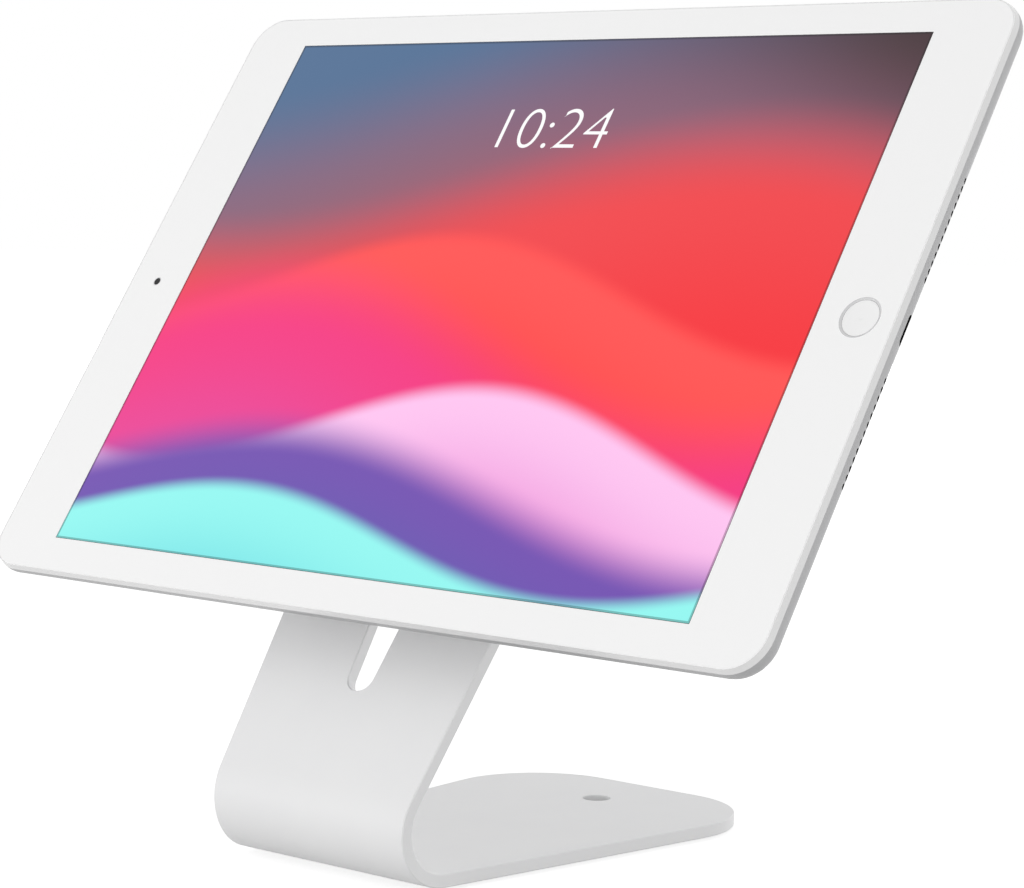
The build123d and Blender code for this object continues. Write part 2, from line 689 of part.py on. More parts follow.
def home_button():
    """A dished round cap inside the ring, with a flange under it that stops it from falling out."""
    cap_r = HOME_RING_D / 2 - HOME_RING_W - FIT
    bottom = -HOME_RING_T - HOME_FLANGE_T
    dish_r = (cap_r**2 + HOME_DISH**2) / (2 * HOME_DISH)
    cap = disc(2 * cap_r, -HOME_RING_SLOPE, bottom, HOME_X)
    cap -= Pos(HOME_X, 0, dish_r - HOME_DISH - HOME_RING_SLOPE) * Sphere(dish_r)
    flange = disc(HOME_RING_D - HOME_RING_W, -HOME_RING_T, bottom, HOME_X)
    return in_tablet(cap + flange)


def home_switch_top():
    """The level of the switch's dome, just past the button's travel."""
    return -HOME_RING_T - HOME_FLANGE_T - HOME_TRAVEL - SWITCH_GAP


def home_switch():
    top = home_switch_top()
    return in_tablet(block(HOME_SWITCH_SIDE, HOME_SWITCH_SIDE, top, top - HOME_SWITCH_T, HOME_X))


def home_bracket():
    """The steel strap that carries the switch, bonded under the glass at both ends."""
    top = home_switch_top() - HOME_SWITCH_T
    strap = block(HOME_BRACKET_W, HOME_BRACKET_SPAN, top, top - HOME_BRACKET_T, HOME_X)
    for side in (-1, 1):
        leg_y = side * (HOME_BRACKET_SPAN - HOME_BRACKET_LEG) / 2
        strap += block(HOME_BRACKET_W, HOME_BRACKET_LEG, Z_GLASS_BACK, top, HOME_X, leg_y)
    return in_tablet(strap)


def edge_key(lay, place, direction, inner, outer):
    """A key in its slot: its face follows the edge's curve, and a flange holds it inside."""
    stem = edge_bar(lay(stadium(KEY_L, KEY_W), place, EDGE_DEPTH), direction, inner, outer + OVERRUN)
    stem &= outer_form(KEY_PROUD)
    flange = lay(key_flange(0), place, EDGE_DEPTH)
    return in_tablet(stem + edge_bar(flange, direction, inner - KEY_FLANGE_T, inner))


def edge_switch(lay, place, direction, inner):
    """A switch on the shell's floor, its nub just past the key's travel."""
    nub_end = inner - KEY_FLANGE_T - KEY_TRAVEL - SWITCH_GAP
    body_end = inner - INNER_CHAMFER
    body_start = body_end - KEY_SWITCH_T
    height = -Z_FLOOR - EDGE_DEPTH + KEY_W / 2
    middle = EDGE_DEPTH - KEY_W / 2 + height / 2
    side = lay(Rectangle(KEY_SWITCH_L, height), place, middle)
    round_nub = lay(Circle(KEY_NUB_D / 2), place, EDGE_DEPTH)
    body = edge_bar(side, direction, body_start, body_end)
    return in_tablet(body + edge_bar(round_nub, direction, body_start, nub_end))


def connector_port():
    """The charging connector's shell: it stands on the floor and meets the slot in the edge."""
    inner = CAVITY_W / 2
    body = right_edge(Rectangle(PORT_BODY_L, port_height()), 0, PORT_DEPTH)
    shell = edge_bar(body, RIGHT, inner - PORT_BODY_DEPTH, inner)
    foot_length = PORT_BODY_DEPTH - INNER_CHAMFER
    foot_x = inner - PORT_BODY_DEPTH + foot_length / 2
    shell += block(foot_length, PORT_BODY_L, -PORT_DEPTH - port_height() / 2, Z_FLOOR, foot_x)
    mouth = right_edge(stadium(PORT_MOUTH_L, PORT_MOUTH_W), 0, PORT_DEPTH)
    return in_tablet(shell - edge_bar(mouth, RIGHT, inner - PORT_MOUTH_DEPTH, inner + OVERRUN))


def speaker(side):
    """A speaker box, with a long mouth of mesh close behind one row of holes."""
    inner = CAVITY_W / 2
    length = SPEAKER_SPAN + 2 * SPEAKER_END
    middle_y = side * (SPEAKER_FIRST_Y + SPEAKER_SPAN / 2)
    front = Z_FLOOR + SPEAKER_BODY_T
    box = block(SPEAKER_BODY_W, length, front, Z_FLOOR, inner - SPEAKER_BODY_W / 2, middle_y)
    corner = box.edges().filter_by(Axis.Y).group_by(Axis.Z)[0].sort_by(Axis.X)[-1]
    box = chamfer(corner, INNER_CHAMFER)
    mouth_start = inner - INNER_CHAMFER - OVERRUN
    mouth = edge_bar(speaker_mesh(side, 0), RIGHT, mouth_start, TABLET_W / 2 - SPEAKER_MESH_DEPTH)
    return in_tablet(box + mouth)


def audio_socket():
    """The audio socket: a body on the floor with a nose that lines its hole in the left edge."""
    inner = CAVITY_W / 2
    body_x = -inner + AUDIO_BODY_L / 2
    body = block(AUDIO_BODY_L, AUDIO_BODY_W, Z_FLOOR + AUDIO_BODY_T, Z_FLOOR, body_x, AUDIO_Y)
    corner = body.edges().filter_by(Axis.Y).group_by(Axis.Z)[0].sort_by(Axis.X)[0]
    body = chamfer(corner, INNER_CHAMFER)
    nose = edge_bar(right_edge(Circle(AUDIO_NOSE_D / 2), AUDIO_Y, AUDIO_DEPTH), LEFT, inner, TABLET_W / 2)
    nose &= outer_form(0)
    bore = right_edge(Circle(AUDIO_BORE_D / 2), AUDIO_Y, AUDIO_DEPTH)
    bar = edge_bar(bore, LEFT, TABLET_W / 2 - AUDIO_BORE_DEPTH, TABLET_W / 2 + OVERRUN)
    return in_tablet(body + nose - bar)


def front_camera():
    """The camera under the clear spot in the glass's border."""
    lens_back = Z_GLASS_BACK - FRONT_LENS_T
    side = FRONT_CAMERA_SIDE
    body = block(side, side, lens_back, lens_back - FRONT_CAMERA_T, FRONT_CAMERA_X)
    return in_tablet(body + disc(FRONT_LENS_D, Z_GLASS_BACK, lens_back, FRONT_CAMERA_X))


def rear_window_back():
    """The outer face of the rear camera's window, set in a little from the shell."""
    return Z_BACK + REAR_LENS_T / 2


def rear_camera():
    front = Z_FLOOR + REAR_CAMERA_T
    side = REAR_CAMERA_SIDE
    body = block(side, side, front, Z_FLOOR, REAR_CAMERA_X, REAR_CAMERA_Y)
    lens_back = rear_window_back() + REAR_LENS_T
    return in_tablet(body + disc(REAR_LENS_D, Z_FLOOR, lens_back, REAR_CAMERA_X, REAR_CAMERA_Y))


def rear_camera_ring():
    ring = disc(REAR_RING_D, Z_FLOOR, Z_BACK, REAR_CAMERA_X, REAR_CAMERA_Y)
    hole = disc(REAR_RING_D - 2 * REAR_RING_W, OVERRUN, Z_BACK - OVERRUN, REAR_CAMERA_X, REAR_CAMERA_Y)
    return in_tablet(ring - hole)


def rear_camera_window():
    back = rear_window_back()
    window_d = REAR_RING_D - 2 * REAR_RING_W
    return in_tablet(disc(window_d, back + REAR_LENS_T, back, REAR_CAMERA_X, REAR_CAMERA_Y))


def battery_cells():
    shift = (BATTERY_W + BATTERY_GAP) / 2
    front = Z_FLOOR + BATTERY_T
    cells = [slab(BATTERY_W, BATTERY_H, BATTERY_R, front, Z_FLOOR, x) for x in (-shift, shift)]
    return [in_tablet(cell) for cell in cells]


def logic_board():
    return in_tablet(block(BOARD_W, BOARD_H, Z_FLOOR + BOARD_T, Z_FLOOR, BOARD_X))


def board_shields():
    """Two pressed cans over the chips, open towards the board."""
    back = Z_FLOOR + BOARD_T
    front = back + SHIELD_T
    inside_w = SHIELD_W - 2 * SHIELD_WALL
    inside_h = SHIELD_H - 2 * SHIELD_WALL
    shift = BOARD_H / 2 - SHIELD_H / 2 - SHIELD_WALL
    cans = []
    for y in (-shift, shift):
        can = block(SHIELD_W, SHIELD_H, front, back, BOARD_X, y)
        can -= block(inside_w, inside_h, front - SHIELD_WALL, back - OVERRUN, BOARD_X, y)
        cans.append(in_tablet(can))
    return cans


def display_flex():
    """The flat cable from the backlight's edge down to the board."""
    top_x = -panel_width(BACKLIGHT_BORDER) / 2 + FLEX_W / 2
    low_x = BOARD_X + BOARD_W / 2 - FLEX_T
    level = Z_BACKLIGHT_BACK - FLEX_T
    ribbon = block(FLEX_W, FLEX_W, Z_BACKLIGHT_BACK, level, top_x)
    drop_x = low_x - FLEX_T / 2
    return in_tablet(ribbon + block(FLEX_T, FLEX_W, level, Z_FLOOR + BOARD_T, drop_x))


def parts():
    """Every node with its solid or group of solids."""
    made = {
        "folded_stand": folded_stand(),
        "foot_pads": foot_pads(),
        "hub_base": hub_base(),
        "hub_base_screws": hub_base_screws(),
        "stop_pin": stop_pin(),
        "friction_washer": friction_washer(),
        "pivot_bolt": pivot_bolt(),
        "back_washer": back_washer(),
        "spring_washers": spring_washers(),
        "lock_nut": lock_nut(),
        "hub_cap": hub_cap(),
        "hub_rotor": hub_rotor(),
        "mount_plate": mount_plate(),
        "plate_screws": plate_screws(),
        "adhesive_pad": adhesive_pad(),
        "rear_housing": rear_housing(),
        "glass_gasket": glass_gasket(),
        "front_glass": front_glass(),
        "display_panel": display_panel(),
        "backlight_unit": backlight_unit(),
        "home_ring": home_ring(),
        "home_button": home_button(),
        "home_switch": home_switch(),
        "home_bracket": home_bracket(),
        "connector_port": connector_port(),
        "upper_speaker": speaker(1),
        "lower_speaker": speaker(-1),
        "audio_socket": audio_socket(),
        "front_camera": front_camera(),
        "rear_camera": rear_camera(),
        "rear_camera_ring": rear_camera_ring(),
        "rear_camera_window": rear_camera_window(),
        "battery_cells": battery_cells(),
        "logic_board": logic_board(),
        "board_shields": board_shields(),
        "display_flex": display_flex(),
    }
    for name, lay, place, direction, (inner, outer) in key_places():
        made[name] = edge_key(lay, place, direction, inner, outer)
        made[name.replace("button", "switch")] = edge_switch(lay, place, direction, inner)
    return made


os.makedirs("parts", exist_ok=True)
for node, shape in parts().items():
    solids = shape if isinstance(shape, list) else [shape]
    export_step(Compound(children=solids) if len(solids) > 1 else solids[0], f"parts/{node}.step")
    print(node, len(solids))
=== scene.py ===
# %% [markdown]
# # A tablet on a folded counter stand
# This lesson dresses a finished construction model. Every plate, screw and key already has its place and its
# real size in the frame, so the work here is what the eye sees: the camera, the light, the finish of each
# surface, and one piece that is too fine for the construction model, the lit digits of a clock.
# The frame is loaded first, because everything else is measured from it.

# %% Load the frame
import json
import math

import bmesh
import bpy
from mathutils import Matrix, Vector


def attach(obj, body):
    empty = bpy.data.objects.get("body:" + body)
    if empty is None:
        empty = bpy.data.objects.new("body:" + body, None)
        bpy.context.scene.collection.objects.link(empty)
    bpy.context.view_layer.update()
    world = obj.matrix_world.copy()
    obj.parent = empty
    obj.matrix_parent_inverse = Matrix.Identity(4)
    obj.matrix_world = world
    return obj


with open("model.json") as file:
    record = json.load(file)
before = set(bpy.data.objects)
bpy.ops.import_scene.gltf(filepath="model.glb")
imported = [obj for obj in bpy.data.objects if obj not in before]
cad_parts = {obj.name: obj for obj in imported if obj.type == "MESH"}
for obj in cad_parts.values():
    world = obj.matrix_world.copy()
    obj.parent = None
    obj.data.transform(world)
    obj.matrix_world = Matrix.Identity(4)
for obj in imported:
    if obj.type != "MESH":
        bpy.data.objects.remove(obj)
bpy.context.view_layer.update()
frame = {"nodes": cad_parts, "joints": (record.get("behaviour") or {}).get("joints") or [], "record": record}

nodes = frame["nodes"]
MM = 0.001

# %% [markdown]
# ## Where the tablet lies
# The tablet leans back, so nothing on it is square to the room. A small frame of its own makes every later
# step easier: x runs along its long side, y up the screen and z out of the glass. The lean comes from the
# swivel's axis, and the height of the glass from the glass itself, so nothing is typed in twice.

# %% The tablet's own frame
swivel = next(joint for joint in frame["joints"] if joint["name"] == "tablet_swivel")
out_of_glass = -Vector(swivel["axis"]).normalized()
lean = math.atan2(out_of_glass.z, -out_of_glass.y)
pivot = Vector(swivel["pos_m"])
glass_rise = max((v.co - pivot).dot(out_of_glass) for v in nodes["front_glass"].data.vertices)
glass_centre = pivot + out_of_glass * glass_rise
glass_turn = math.pi / 2 - lean
tablet_frame = Matrix.Translation(glass_centre) @ Matrix.Rotation(glass_turn, 4, "X")
print("lean", round(math.degrees(lean), 2), "glass centre", [round(v, 4) for v in glass_centre])


def tablet_extent(node):
    """Lowest and highest corner of a node in the tablet's own frame, in metres."""
    to_tablet = tablet_frame.inverted()
    points = [to_tablet @ v.co for v in nodes[node].data.vertices]
    low = Vector(min(p[i] for p in points) for i in range(3))
    high = Vector(max(p[i] for p in points) for i in range(3))
    return low, high


# %% [markdown]
# ## The camera
# The camera stands where the photographer's stood: to the right of the screen, a little above its middle,
# with a long lens. Its place was worked out from the four corners of the lit screen. The picture was cropped
# off centre, which the lens shift repeats, because turning the camera instead would change the perspective.

# %% Camera
IMAGE_WIDTH = 1024
IMAGE_HEIGHT = 888
LENS_CENTRE_PX = (590, 365)
FOCAL_LENGTH_PX = 3039.8
SENSOR_MM = 36.0
NEAREST_SEEN = 0.01
FARTHEST_SEEN = 50.0
CAMERA_PLACE = Vector((0.5011, -0.55362, 0.16212))
CAMERA_HEADING = 40.364
CAMERA_PITCH = -3.386
CAMERA_ROLL = 1.039

camera_data = bpy.data.cameras.new("camera")
camera = bpy.data.objects.new("camera", camera_data)
bpy.context.scene.collection.objects.link(camera)
bpy.context.scene.camera = camera
camera_data.sensor_width = SENSOR_MM
camera_data.lens = FOCAL_LENGTH_PX * SENSOR_MM / IMAGE_WIDTH
camera_data.shift_x = (IMAGE_WIDTH / 2 - LENS_CENTRE_PX[0]) / IMAGE_WIDTH
camera_data.shift_y = (LENS_CENTRE_PX[1] - IMAGE_HEIGHT / 2) / IMAGE_WIDTH
camera_data.clip_start = NEAREST_SEEN
camera_data.clip_end = FARTHEST_SEEN
heading = Matrix.Rotation(math.radians(CAMERA_HEADING), 4, "Z")
pitch = Matrix.Rotation(math.radians(90 + CAMERA_PITCH), 4, "X")
roll = Matrix.Rotation(math.radians(CAMERA_ROLL), 4, "Z")
camera.matrix_world = Matrix.Translation(CAMERA_PLACE) @ heading @ pitch @ roll
shift = (round(camera_data.shift_x, 4), round(camera_data.shift_y, 4))
print("lens", round(camera_data.lens, 2), "mm, shift", shift)

# %% [markdown]
# ## Colours and shader nodes
# Colours are chosen as the eye names them, in sRGB hex, while the shader works in linear light. One function
# does that step for every colour. A second one adds a shader node with its settings and links in a single
# call, so that a material reads as a list of what it does. A third starts a material, because nearly every
# finish here begins with the same shader.


# %% Three helpers
def linear(hex_colour):
    """An sRGB colour such as #F2F2F0 as the linear red, green, blue and alpha that shaders use."""
    values = [int(hex_colour[i : i + 2], 16) / 255 for i in (1, 3, 5)]
    light = [v / 12.92 if v <= 0.04045 else ((v + 0.055) / 1.055) ** 2.4 for v in values]
    return (*light, 1.0)


def add(tree, kind, inputs=None, **settings):
    """Adds a shader node and gives it the settings, which are its own properties.

    Each input, by name or by number, gets a hex colour, a plain value or a link from another socket.
    """
    node = tree.nodes.new("ShaderNode" + kind)
    for name, value in settings.items():
        setattr(node, name, value)
    for name, value in (inputs or {}).items():
        if isinstance(value, bpy.types.NodeSocket):
            tree.links.new(value, node.inputs[name])
        else:
            node.inputs[name].default_value = linear(value) if isinstance(value, str) else value
    return node


def surface(name, colour, **shader):
    """A material with one Principled shader. Its tree and its shader come back for more detail."""
    material = bpy.data.materials.new(name)
    material.use_nodes = True
    tree = material.node_tree
    tree.nodes.clear()
    principled = add(tree, "BsdfPrincipled", {"Base Color": colour, **shader})
    add(tree, "OutputMaterial", {"Surface": principled.outputs[0]})
    return material, tree, principled


WHITE = "#FFFFFF"
BLACK = "#000000"
print("white in linear light", linear(WHITE))

# %% [markdown]
# ## The room
# A product shot on white has a pale sweep under and behind the object and light from all round. A dim even
# dome gives most of the light on what faces up, and long soft boxes that stand on the floor round the object
# add to what stands upright. They are low, so they reach in under the tablet and leave a soft bright band
# along the bend. The one at the right is dim, which leaves that side of every edge darker. What the camera
# and the reflections see of the room is white, which a Light Path node sets, so that no lamp has to be
# turned up to bleach it. The paper itself is a light grey, which keeps the underside of the bend darker than
# its front, and it still takes the object's faint shadow.

# %% Floor and backdrop
FLOOR_RADIUS = 6.0
FLOOR_SIDES = 64
FLOOR_COLOUR = "#B0B0B0"
FLOOR_GLOW = 0.78


def seen_white(tree):
    """1 for rays that come from the camera, a reflection or clear glass, else 0."""
    path = add(tree, "LightPath").outputs
    direct_or_mirrored = {0: path["Is Camera Ray"], 1: path["Is Glossy Ray"]}
    seen = add(tree, "Math", direct_or_mirrored, operation="MAXIMUM").outputs[0]
    return add(tree, "Math", {0: seen, 1: path["Is Transmission Ray"]}, operation="MAXIMUM").outputs[0]


def studio_paper():
    """Matt paper that glows where it is seen, so that it reads white with a soft shadow."""
    material = bpy.data.materials.new("studio_paper")
    material.use_nodes = True
    tree = material.node_tree
    tree.nodes.clear()
    paper = add(tree, "BsdfDiffuse", {"Color": FLOOR_COLOUR})
    level = add(tree, "Math", {0: seen_white(tree), 1: FLOOR_GLOW}, operation="MULTIPLY")
    glow = add(tree, "Emission", {"Color": WHITE, "Strength": level.outputs[0]})
    both = add(tree, "AddShader", {0: paper.outputs[0], 1: glow.outputs[0]})
    add(tree, "OutputMaterial", {"Surface": both.outputs[0]})
    return material


def round_floor():
    """A wide disc of paper at the level of the counter."""
    mesh = bpy.data.meshes.new("floor")
    shape = bmesh.new()
    bmesh.ops.create_circle(shape, cap_ends=True, segments=FLOOR_SIDES, radius=FLOOR_RADIUS)
    shape.to_mesh(mesh)
    shape.free()
    floor = bpy.data.objects.new("floor", mesh)
    bpy.context.scene.collection.objects.link(floor)
    mesh.materials.append(studio_paper())
    return floor


floor = round_floor()
print("floor", round(floor.dimensions.x, 1), "m across")

# %% World and lamps
WORLD_LIGHT = 0.68
BOX_DISTANCE = 1.8
BOX_WIDTH = 3.6
BOX_HEIGHT = 0.4
BOX_POWERS = {"front_box": 16.5, "left_box": 18.0, "back_box": 21.0, "right_box": 3.0}

world = bpy.data.worlds.new("studio")
bpy.context.scene.world = world
world.use_nodes = True
sky = world.node_tree
sky.nodes.clear()
seen = add(sky, "MapRange", {0: seen_white(sky), 3: WORLD_LIGHT, 4: 1.0})
air = add(sky, "Background", {"Color": WHITE, "Strength": seen.outputs[0]})
add(sky, "OutputWorld", {"Surface": air.outputs[0]})


def soft_box(name, quarter_turns, power):
    """A long low lamp that stands on the floor and faces the object. No metal or glass mirrors it."""
    data = bpy.data.lights.new(name, "AREA")
    data.shape = "RECTANGLE"
    data.size = BOX_WIDTH
    data.size_y = BOX_HEIGHT
    data.energy = power
    lamp = bpy.data.objects.new(name, data)
    lamp.visible_glossy = False
    bpy.context.scene.collection.objects.link(lamp)
    around = Matrix.Rotation(-quarter_turns * math.pi / 2, 4, "Z")
    upright = Matrix.Rotation(math.pi / 2, 4, "X")
    lamp.matrix_world = around @ Matrix.Translation((0, -BOX_DISTANCE, BOX_HEIGHT / 2)) @ upright
    return lamp


for quarter_turns, (name, power) in enumerate(BOX_POWERS.items()):
    box = soft_box(name, quarter_turns, power)
    print(name, "at", [round(v, 2) for v in box.matrix_world.translation], power, "W")
bpy.context.scene.view_settings.view_transform = "Standard"

# %% [markdown]
# ## Anodised aluminium
# The stand and the tablet's shell are both aluminium that was blasted with fine beads and then clear
# anodised. The blasting leaves tiny dents, so the metal glows softly and shows no mirror image, and the
# clear oxide skin scatters part of the light as paint does. So the shader is only partly metallic, least on
# the stand, whose skin is thick and milky, with a trace of uneven tone. The dents are about a tenth of a
# millimetre across, too fine to show in the picture, so they are drawn three times as coarse.

# %% Patterns and tones
NOISE_DETAIL = 2.0
NOISE_ROUGHNESS = 0.6
TONE_DETAIL = 3.0
TONE_PATCH = 18 * MM


def grain(tree, size, detail=NOISE_DETAIL):
    """Even random grain with features of about one size in metres, from 0 to 1."""
    point = add(tree, "TexCoord").outputs["Object"]
    noise = {"Vector": point, "Scale": 1 / size, "Detail": detail, "Roughness": NOISE_ROUGHNESS}
    return add(tree, "TexNoise", noise).outputs[0]


def roughen(tree, principled, size, depth, strength):
    """Gives a shader tiny dents of one size, depth metres deep."""
    bump = {"Height": grain(tree, size), "Distance": depth, "Strength": strength}
    tree.links.new(add(tree, "Bump", bump).outputs[0], principled.inputs["Normal"])


def uneven_tone(tree, dark, light):
    """A colour that wanders between two close tones from patch to patch."""
    patches = grain(tree, TONE_PATCH, TONE_DETAIL)
    return add(tree, "Mix", {0: patches, 6: dark, 7: light}, data_type="RGBA").outputs[2]


print("tone patches", round(TONE_PATCH / MM), "mm")

# %% Aluminium
BEAD_GRAIN = 0.35 * MM
BEAD_DEPTH = 0.008 * MM
BEAD_STRENGTH = 0.3


def anodised_aluminium(name, dark, light, roughness, metallic):
    """Clear anodised aluminium: soft metal with a fine even grain."""
    material, tree, metal = surface(name, light, Metallic=metallic, Roughness=roughness)
    tree.links.new(uneven_tone(tree, dark, light), metal.inputs["Base Color"])
    roughen(tree, metal, BEAD_GRAIN, BEAD_DEPTH, BEAD_STRENGTH)
    return material


print("bead grain", round(BEAD_GRAIN / MM, 2), "mm")

# %% [markdown]
# ## The tablet's shell
# The shell is the same metal, but its rim is cut with a diamond after the blasting, which leaves one bright
# smooth bevel round the glass: the shader turns lighter and smoother in front of the level where that cut
# ends. The speaker holes in its edge have black acoustic cloth behind them, and the connector between them a
# black socket. The bare metal walls of those openings lie in shadow, so the shader gives them a painted
# shade, nearly black. It tells them from the skin round them by the way they face. A Compare node gives 1
# where a value lies close enough to another, so each of those tests is a single step.

# %% Shell finish
DIAMOND_CUT_DEPTH = 1.68 * MM
SHELL_TONES = ("#B3B3B4", "#B8B8B9")
SHELL_METALLIC = 0.3
SHELL_ROUGHNESS = 0.42
BEVEL_TONE = "#E8E8E8"
BEVEL_ROUGHNESS = 0.24
# Painted shade, nearly black, on the walls of the speaker holes and the connector's opening, where their
# shadow falls.
HOLE_PAINTED_SHADE = "#1C1C1D"
HOLE_LEVEL = 4.7 * MM
HOLE_REACH = 1.15 * MM
HOLE_LENGTH = 2.0 * MM
HOLE_ROWS_END = 41.0 * MM
# How far a wall may face out of the edge, as the x of its normal.
HOLE_FACING = 0.3
right_edge = tablet_extent("rear_housing")[1].x


def tablet_point(tree):
    """Sockets for x along the screen, y up it and z out of it, in metres from the middle of the glass."""
    point = add(tree, "TexCoord").outputs["Object"]
    place = {"Vector": point, "Location": glass_centre, "Rotation": (glass_turn, 0, 0)}
    flat = add(tree, "Mapping", place, vector_type="TEXTURE").outputs[0]
    return add(tree, "SeparateXYZ", {0: flat}).outputs


def shaded_hole_walls(tree):
    """1 on the walls of the holes in the right-hand edge, which face along that edge and get a painted
    shade, else 0.
    """
    x, y, z = tablet_point(tree)
    normal = add(tree, "TexCoord").outputs["Normal"]
    outwards = add(tree, "SeparateXYZ", {0: normal}).outputs[0]
    limits = [
        (x, right_edge, HOLE_LENGTH),
        (y, 0.0, HOLE_ROWS_END),
        (z, -HOLE_LEVEL, HOLE_REACH),
    ]
    wall = add(tree, "Math", {0: outwards, 1: 0.0, 2: HOLE_FACING}, operation="COMPARE").outputs[0]
    for value, middle, reach in limits:
        close = add(tree, "Math", {0: value, 1: middle, 2: reach}, operation="COMPARE").outputs[0]
        wall = add(tree, "Math", {0: wall, 1: close}, operation="MULTIPLY").outputs[0]
    return wall


def shell_aluminium():
    """The tablet's shell: blasted all over, with a bright cut bevel round the glass."""
    shell = {"Metallic": SHELL_METALLIC, "Roughness": SHELL_ROUGHNESS}
    material, tree, metal = surface("shell_aluminium", SHELL_TONES[0], **shell)
    depth = tablet_point(tree)[2]
    bevel = add(tree, "Math", {0: depth, 1: -DIAMOND_CUT_DEPTH}, operation="GREATER_THAN").outputs[0]
    skin = uneven_tone(tree, *SHELL_TONES)
    cut = add(tree, "Mix", {0: bevel, 6: skin, 7: BEVEL_TONE}, data_type="RGBA").outputs[2]
    # The hole walls get the painted shade in place of the shadow inside them.
    tone = add(tree, "Mix", {0: shaded_hole_walls(tree), 6: cut, 7: HOLE_PAINTED_SHADE}, data_type="RGBA").outputs[2]
    tree.links.new(tone, metal.inputs["Base Color"])
    gloss = add(tree, "MapRange", {0: bevel, 3: SHELL_ROUGHNESS, 4: BEVEL_ROUGHNESS})
    tree.links.new(gloss.outputs[0], metal.inputs["Roughness"])
    roughen(tree, metal, BEAD_GRAIN, BEAD_DEPTH, BEAD_STRENGTH)
    return material


print("right-hand edge", round(right_edge / MM, 1), "mm from the middle")

# %% [markdown]
# ## Glass with a picture behind it
# The front is one sheet of glass with a white print on its back, and a clear window over the display. The
# print and the lit picture lie so close behind the glass that one shader can hold all three. It asks where
# a point lies on the screen, mixes white print with the glowing picture, and puts a clear polished coat on
# top. The picture is a plain abstract one: soft waves of colour, each laid over the last. It dims in its
# last half millimetre, where the rim of the display's frame shades it, and ends in a dark hairline.

# %% Screen measures
PANEL_MARGIN = 1.5 * MM
panel_corner = tablet_extent("display_panel")[1]
screen_half = Vector((panel_corner.x - PANEL_MARGIN, panel_corner.y - PANEL_MARGIN))
print("screen", [round(2 * v / MM, 1) for v in screen_half], "mm")


def inside_screen(tree, x, y, margin):
    """1 on the screen and up to a margin round it, else 0."""
    across = add(tree, "Math", {0: x, 1: 0.0, 2: screen_half.x + margin}, operation="COMPARE").outputs[0]
    up = add(tree, "Math", {0: y, 1: 0.0, 2: screen_half.y + margin}, operation="COMPARE").outputs[0]
    return add(tree, "Math", {0: across, 1: up}, operation="MULTIPLY").outputs[0]


def inside_circle(tree, x, y, centre, radius):
    """1 inside a circle, 0 outside."""
    point = add(tree, "CombineXYZ", {0: x, 1: y}).outputs[0]
    ends = {0: point, 1: (centre.x, centre.y, 0.0)}
    distance = add(tree, "VectorMath", ends, operation="DISTANCE").outputs["Value"]
    return add(tree, "Math", {0: distance, 1: radius}, operation="LESS_THAN").outputs[0]


# %% The picture
# Each wave: height of its crest line and its swing, as shares of the screen's half height; how many half
# turns of a sine fit across the screen, where the sine starts, how soft its edge is, and its two colours.
WAVE_SHARES = [
    (0.50, 0.22, 1.3, 1.0, 0.52, "#8A5A70", "#CC3A46"),
    (0.24, 0.24, 1.2, 0.2, 0.32, "#EE3A40", "#F4202B"),
    (0.00, 0.20, 1.7, 1.9, 0.07, "#FF4A48", "#F8202C"),
    (-0.32, 0.24, 1.45, 2.9, 0.28, "#F2247C", "#E23C9C"),
    (-0.52, 0.18, 1.9, 1.0, 0.06, "#FBC2EE", "#DE5FC4"),
    (-0.74, 0.17, 1.5, 2.4, 0.14, "#6E48AE", "#2F62AC"),
    (-0.88, 0.13, 1.9, 2.9, 0.05, "#90F4EE", "#25BDD2"),
]
WAVE_DEPTH = 0.7
TOP_LEFT = "#46688F"
TOP_RIGHT = "#3A2429"
TOP_TURN_START = -0.4
TOP_TURN_END = 1.0
SOFT = {"interpolation_type": "SMOOTHSTEP"}


def lit_picture(tree, x, y):
    """An abstract picture of soft waves, from slate blue at the top to cyan at the bottom."""
    across = add(tree, "Math", {0: x, 1: screen_half.x}, operation="DIVIDE").outputs[0]
    up = add(tree, "Math", {0: y, 1: screen_half.y}, operation="DIVIDE").outputs[0]
    turn = add(tree, "MapRange", {0: across, 1: TOP_TURN_START, 2: TOP_TURN_END}, **SOFT).outputs[0]
    colour = add(tree, "Mix", {0: turn, 6: TOP_LEFT, 7: TOP_RIGHT}, data_type="RGBA").outputs[2]
    for level, swing, turns, start, soft, edge, deep in WAVE_SHARES:
        sweep = {0: across, 1: turns * math.pi / 2, 2: start}
        angle = add(tree, "Math", sweep, operation="MULTIPLY_ADD").outputs[0]
        sine = add(tree, "Math", {0: angle}, operation="SINE").outputs[0]
        crest = add(tree, "Math", {0: sine, 1: swing, 2: level}, operation="MULTIPLY_ADD").outputs[0]
        depth = add(tree, "Math", {0: crest, 1: up}, operation="SUBTRACT").outputs[0]
        fade = add(tree, "MapRange", {0: depth, 1: 0.0, 2: WAVE_DEPTH}, **SOFT).outputs[0]
        wave = add(tree, "Mix", {0: fade, 6: edge, 7: deep}, data_type="RGBA").outputs[2]
        cover = add(tree, "MapRange", {0: depth, 1: -soft, 2: soft / 3}, **SOFT).outputs[0]
        colour = add(tree, "Mix", {0: cover, 6: colour, 7: wave}, data_type="RGBA").outputs[2]
    return colour


print("waves", len(WAVE_SHARES))

# %% Cover glass
PRINT_WHITE = "#F5F5F5"
PRINT_BLACK = "#0B0B0D"
CAMERA_RIM_TONE = "#D9D9DA"
DARK_LINE = 0.12 * MM
EDGE_SHADE = 0.5 * MM
EDGE_GLOW = 0.55
CAMERA_DOT = 1.05 * MM
CAMERA_RIM = 1.35 * MM
GLASS_IOR = 1.5
GLASS_POLISH = {"Roughness": 0.04, "IOR": GLASS_IOR, "Specular IOR Level": 0.3}
camera_low, camera_high = tablet_extent("front_camera")
camera_spot = (camera_low + camera_high) / 2
print("camera dot at", [round(v / MM, 1) for v in camera_spot.xy], "mm")


